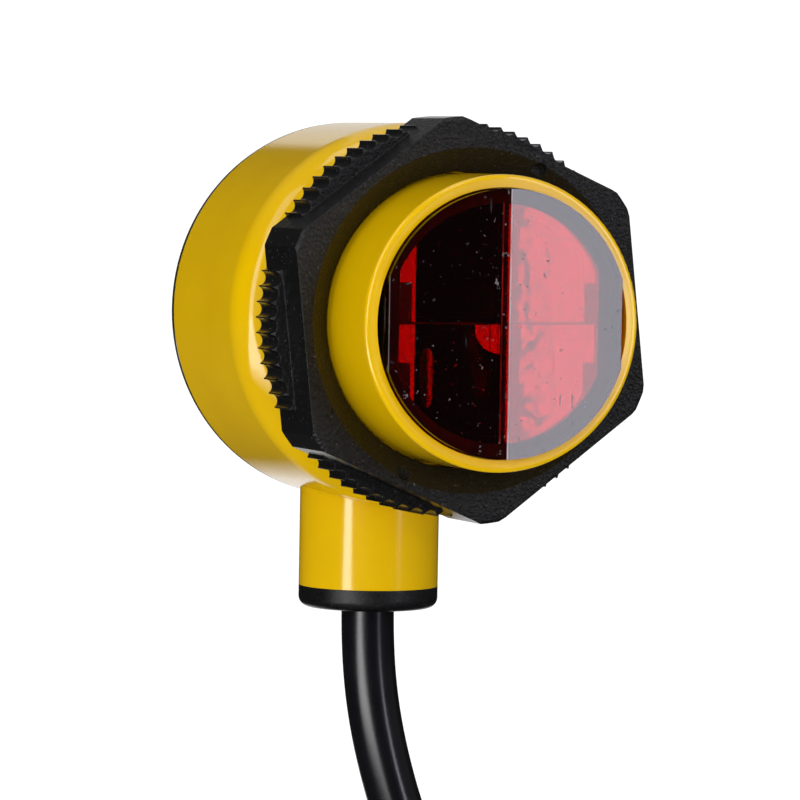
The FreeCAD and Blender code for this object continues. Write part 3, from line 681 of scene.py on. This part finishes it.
film = polarizing_film("polarizing_film", 0.01)
hazy_film = polarizing_film("hazy_film", 0.13)
barrel_black = plain("black_optics", (0.010, 0.010, 0.010), 0.42)
FINISHES = [
    (film, ["emitter_polarizer", "receiver_polarizer"]),
    (barrel_black,
     ["optics_frame", "receiver_photodiode", "board_header", "microcontroller",
      "pnp_output_transistor", "npn_output_transistor"]),
    (plain("clear_plastic", (0.92, 0.93, 0.93), 0.06, 0.004, transmission=1.0),
     ["indicator_window", "emitter_lens", "receiver_lens", "emitter_led"]),
    (plain("green_lamp", (0.08, 0.55, 0.14), 0.12, 0.004, transmission=0.6), ["green_led"]),
    (plain("yellow_lamp", (0.85, 0.55, 0.04), 0.12, 0.004, transmission=0.6), ["yellow_led"]),
    (plain("black_rubber", (0.020, 0.020, 0.020), 0.6, 0.02), ["lens_seal", "cable_grommet"]),
    (plain("circuit_board", (0.015, 0.16, 0.055), 0.35, 0.01, 1.2), ["optics_board", "main_board"]),
    (plain("aluminium_can", (0.78, 0.78, 0.79), 0.3, 0.005, metallic=1.0), ["filter_capacitor"]),
]
for finish, names in FINISHES:
    for name in names:
        dress(name, finish)
print(len(FINISHES), "finishes for", sum(len(names) for finish, names in FINISHES), "inner nodes")

# %% [markdown]
# ## Lens and films as bent sheets
# The photo shows the right half of the lens bright and the left half dark, both on its front and on
# what mirrors behind it. So the lens has the same thickness all over, its back is bent like its
# front, and the films lie parallel to it in their two windows, with their edges held under small
# tabs. The left edge leans the other way, and so do one curled corner and a rib, which is why they
# shine red in the dark half. The model's lens has a flat back and its films are flat. A Solidify
# modifier on a bent sheet would round the rim wrongly. So one function joins rings of four points
# across the sheet, with the height of its rim, its front and its back as formulas.


# %% A closed piece joined from rings
def new_piece(name, mesh):
    """Turns a built mesh into a piece that rides on the sensor."""
    bmesh.ops.recalc_face_normals(mesh, faces=mesh.faces)
    data = bpy.data.meshes.new(name)
    mesh.to_mesh(data)
    mesh.free()
    piece = bpy.data.objects.new(name, data)
    scene.collection.objects.link(piece)
    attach(piece, "sensor")
    return piece


def joined_rings(name, rings):
    """Closed piece from rings of points in millimetres, each joined to the next."""
    mesh = bmesh.new()
    built = [[mesh.verts.new(tuple(part * MM for part in place)) for place in ring] for ring in rings]
    for ring, following in zip(built, built[1:]):
        for corner in range(len(ring)):
            after = (corner + 1) % len(ring)
            mesh.faces.new((ring[corner], ring[after], following[after], following[corner]))
    mesh.faces.new(built[0])
    mesh.faces.new(built[-1][::-1])
    return new_piece(name, mesh)


# %% A sheet across the lens
def bent_sheet(name, stops, low, high, front, back):
    """Closed sheet across X: low and high give its rim, front and back its faces along Y."""
    rings = []
    for x in stops:
        rings.append([(x, front(x), low(x)), (x, front(x), high(x)), (x, back(x), high(x)),
                      (x, back(x), low(x))])
    return joined_rings(name, rings)


def round_stops(radius, half_width, count):
    """Places across a disc that follow its rim evenly, with one in the middle."""
    reach = math.asin(half_width / radius)
    return [radius * math.sin(reach * (2 * step / count - 1)) for step in range(count + 1)]


print("ring and sheet helpers ready")


# %% Lens with a bent back
LENS_RADIUS = lens_high.z
LENS_COLUMNS = 120


def roof(x):
    """How far the roof stands out at x."""
    return LENS_RISE * (1 - abs(x) / LENS_FLAT)


def lens_rim(x):
    return math.sqrt(max(LENS_RADIUS ** 2 - x ** 2, 0.0))


lens = bent_sheet("roofed_lens", round_stops(LENS_RADIUS, LENS_FLAT, LENS_COLUMNS),
                  low=lambda x: -lens_rim(x), high=lens_rim,
                  front=lambda x: front_edge - roof(x), back=lambda x: lens_back - roof(x))
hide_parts("front_lens")
dress(lens, acrylic)
print(f"lens {lens_back - front_edge:.2f} mm thick, back at {lens_back:.2f}")

# %% Films
FILM_GAP = 0.12
FILM_EDGE = -18.13
FILM_THICKNESS = 0.12
FILM_COLUMNS = 60
RIDGE_PLACE = 1.8
RIDGE_ROUND = 2.0
EDGE_STRIP = 1.9
EDGE_LEAN = 0.9
slope = LENS_RISE / LENS_FLAT
strip_end = EDGE_STRIP - FILM_HALF_WIDTH


def lens_rear(x):
    """The back of the lens, which nothing may touch."""
    return lens_back - roof(x)


def film_front(x):
    """Parallel to the lens but round at the ridge; the strip at the left leans the other way."""
    if x < strip_end:
        return film_front(strip_end) - (strip_end - x) * slope * EDGE_LEAN
    return FILM_EDGE - (FILM_HALF_WIDTH - math.hypot(x - RIDGE_PLACE, RIDGE_ROUND)) * slope


film_stops = sorted(round_stops(FILM_RADIUS, FILM_HALF_WIDTH, FILM_COLUMNS) + [strip_end])
for name, side in (("emitter_polarizer", 1), ("receiver_polarizer", -1)):
    sheet = bent_sheet("bent_" + name, film_stops,
                       low=lambda x: FILM_GAP * side,
                       high=lambda x: side * math.sqrt(FILM_RADIUS ** 2 - x ** 2),
                       front=film_front, back=lambda x: film_front(x) + FILM_THICKNESS)
    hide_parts(name)
    dress(sheet, film)
print(f"film ridge {film_front(0) - lens_rear(0):.2f} mm behind the lens")

# %% Tabs at the windows' sides
TAB_ROWS = ((0.05, 4.05), (-7.5, -3.95))
TAB_WIDTH = 1.3
TAB_THICKNESS = 0.12
TAB_CLEARANCE = 0.04
tab_front = lens_rear(FILM_HALF_WIDTH) + TAB_CLEARANCE
mesh = bmesh.new()
for low, high in TAB_ROWS:
    tab_size = Vector((TAB_WIDTH, TAB_THICKNESS, high - low)) * MM
    for side in (-1, 1):
        middle = Vector((side * (FILM_HALF_WIDTH - TAB_WIDTH / 2), tab_front + TAB_THICKNESS / 2,
                         (low + high) / 2)) * MM
        bmesh.ops.create_cube(mesh, size=1.0, matrix=Matrix.LocRotScale(middle, None, tab_size))
tabs = new_piece("film_tabs", mesh)
dress(tabs, barrel_black)
print(2 * len(TAB_ROWS), "tabs")

# %% Curled corner
CORNER_REACH = 2.9
CORNER_THICKNESS = 0.03
CORNER_STEPS = 24
corner_deep = lens_rear(-CORNER_REACH) + TAB_CLEARANCE / 2 + CORNER_REACH * slope
corner_stops = [-CORNER_REACH * (1 - step / CORNER_STEPS) for step in range(1, CORNER_STEPS + 1)]
corner = bent_sheet("curled_corner", corner_stops,
                    low=lambda x: -FILM_GAP - math.sqrt(CORNER_REACH ** 2 - x ** 2),
                    high=lambda x: -FILM_GAP,
                    front=lambda x: corner_deep + x * slope,
                    back=lambda x: corner_deep + x * slope + CORNER_THICKNESS)
dress(corner, film)
print(f"curled corner of {CORNER_REACH} mm")

# %% Rib on the lower film
RIB_PLACE = -7.6
RIB_HALF_WIDTH = 0.8
RIB_BEND = 6.0
RIB_MIDDLE = -5.4
RIB_REACH = 3.0
RIB_BLUNTNESS = 1.02
RIB_LIFT = 0.06
RIB_GAP = 0.01
RIB_STEPS = 10
rib_edge = math.sqrt(RIB_BEND ** 2 - RIB_HALF_WIDTH ** 2)


def rib_reach(x):
    """Half the rib's height at x: it is leaf-shaped, with blunt sides."""
    return RIB_REACH * math.sqrt(RIB_BLUNTNESS - ((x - RIB_PLACE) / RIB_HALF_WIDTH) ** 2)


def rib_front(x):
    """The rib bulges toward the lens, round across."""
    return film_front(RIB_PLACE) - RIB_LIFT + rib_edge - math.sqrt(RIB_BEND ** 2 - (x - RIB_PLACE) ** 2)


rib_stops = [RIB_PLACE + RIB_HALF_WIDTH * step / RIB_STEPS for step in range(-RIB_STEPS, RIB_STEPS + 1)]
rib = bent_sheet("film_rib", rib_stops,
                 low=lambda x: RIB_MIDDLE - rib_reach(x), high=lambda x: RIB_MIDDLE + rib_reach(x),
                 front=rib_front, back=lambda x: film_front(x) - RIB_GAP)
dress(rib, hazy_film)
print(f"rib {2 * RIB_HALF_WIDTH} mm wide")

# %% [markdown]
# ## Nose thread
# The nut runs on a 1.5 mm thread, which the model leaves as a plain core. It is a single ridge of
# triangular section that climbs round the core and fades out at both ends. A Screw modifier could
# sweep it, but rings of four points joined in a loop give the faded ends as well.

# %% Thread
THREAD_PITCH = 1.5
THREAD_CORE = 14.05
THREAD_CREST = 14.85
THREAD_START = -4.25
THREAD_END = -10.35
RIDGE_BASE = 1.25
RIDGE_TOP = 0.22
RIDGE_SINK = 0.1
STEPS_PER_TURN = 120
FADE_STEPS = 20


def thread_rings():
    """Sections of the ridge round the core, lower and lower towards both ends."""
    travel = THREAD_START - THREAD_END - RIDGE_BASE
    steps = int(travel / THREAD_PITCH * STEPS_PER_TURN)
    rings = []
    for step in range(steps + 1):
        angle = 2 * math.pi * step / STEPS_PER_TURN
        middle = THREAD_START - RIDGE_BASE / 2 - THREAD_PITCH * step / STEPS_PER_TURN
        fade = min(1.0, (step + 1) / FADE_STEPS, (steps + 1 - step) / FADE_STEPS)
        crest = THREAD_CORE + (THREAD_CREST - THREAD_CORE) * fade
        root = THREAD_CORE - RIDGE_SINK
        section = [(root, RIDGE_BASE / 2), (crest, RIDGE_TOP / 2), (crest, -RIDGE_TOP / 2),
                   (root, -RIDGE_BASE / 2)]
        rings.append([(radius * math.cos(angle), middle + along, radius * math.sin(angle))
                      for radius, along in section])
    return rings


thread = joined_rings("nose_thread", thread_rings())
dress(thread, yellow)
print("thread of", len(thread.data.polygons), "faces")
